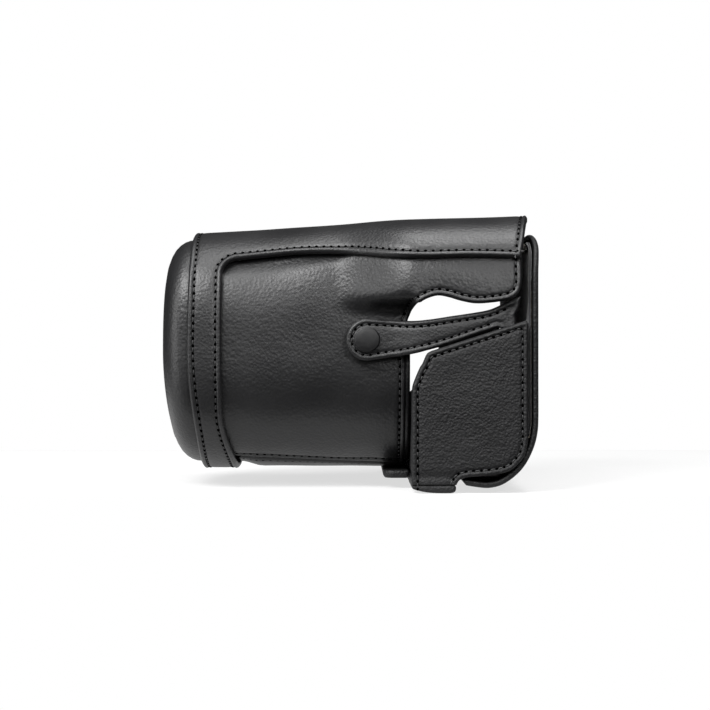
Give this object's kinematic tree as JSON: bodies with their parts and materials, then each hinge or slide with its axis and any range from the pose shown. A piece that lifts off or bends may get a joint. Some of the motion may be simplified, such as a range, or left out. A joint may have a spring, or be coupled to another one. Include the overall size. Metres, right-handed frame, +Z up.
{
  "type": "camera ever ready case",
  "caption": "Black leather ever ready case: half case, tilting cover with a lens barrel, folding back flap, snap strap and tripod screw.",
  "frame": {"origin": "centre of the footprint, level with the underside of the foot", "axes": "-X towards the lens end, +X towards the camera's back, +Y towards the camera's grip side, +Z up"},
  "size_m": [0.1328, 0.135, 0.0968],
  "materials": {
    "smooth_leather": "satin",
    "grained_leather": "matte",
    "napped_lining": "matte",
    "fibre_board": "matte",
    "enamelled_snap": "satin",
    "plated_steel": "satin"
  },
  "bodies": {
    "half_case": {"base_panel": "grained_leather", "base_board": "fibre_board", "base_lining": "napped_lining", "front_foot": "grained_leather", "left_side_panel": "grained_leather", "right_side_panel": "grained_leather", "left_side_lining": "napped_lining", "right_side_lining": "napped_lining", "front_wall": "grained_leather", "front_lining": "napped_lining", "grip_cover": "grained_leather", "back_frame": "grained_leather", "flap_anchor": "grained_leather", "strap_anchor": "grained_leather", "screw_eyelet": "plated_steel"},
    "cover": {"yoke_band": "smooth_leather", "left_barrel_panel": "smooth_leather", "right_barrel_panel": "smooth_leather", "bottom_gusset": "smooth_leather", "cover_lining": "napped_lining", "left_edge_strip": "smooth_leather", "right_edge_strip": "smooth_leather", "front_cap": "smooth_leather", "cap_board": "fibre_board", "cap_lining": "napped_lining", "cover_tongue": "grained_leather", "snap_stud": "plated_steel"},
    "flap": {"back_flap": "grained_leather", "flap_board": "fibre_board", "flap_pad": "napped_lining"},
    "strap": {"snap_strap": "grained_leather", "snap_cap": "enamelled_snap", "snap_socket": "plated_steel"},
    "screw": {"tripod_screw": "plated_steel", "screw_clip": "plated_steel"}
  },
  "joints": [
    {"name": "cover_tilt", "type": "hinge", "parent": "half_case", "child": "cover", "pos_m": [0.02158, -0.00995, 0.0033], "axis": [0, -1, 0], "range_deg": [0, 95]},
    {"name": "flap_fold", "type": "hinge", "parent": "half_case", "child": "flap", "pos_m": [0.06228, -0.00995, 0.01245], "axis": [0, 1, 0], "range_deg": [0, 95]},
    {"name": "strap_swing", "type": "hinge", "parent": "half_case", "child": "strap", "pos_m": [0.05233, -0.0636, 0.056], "axis": [0, 0, 1], "range_deg": [0, 100]},
    {"name": "screw_turn", "type": "hinge", "parent": "half_case", "child": "screw", "pos_m": [0.04093, -0.00995, 0.004], "axis": [0, 0, 1], "continuous": true}
  ]
}
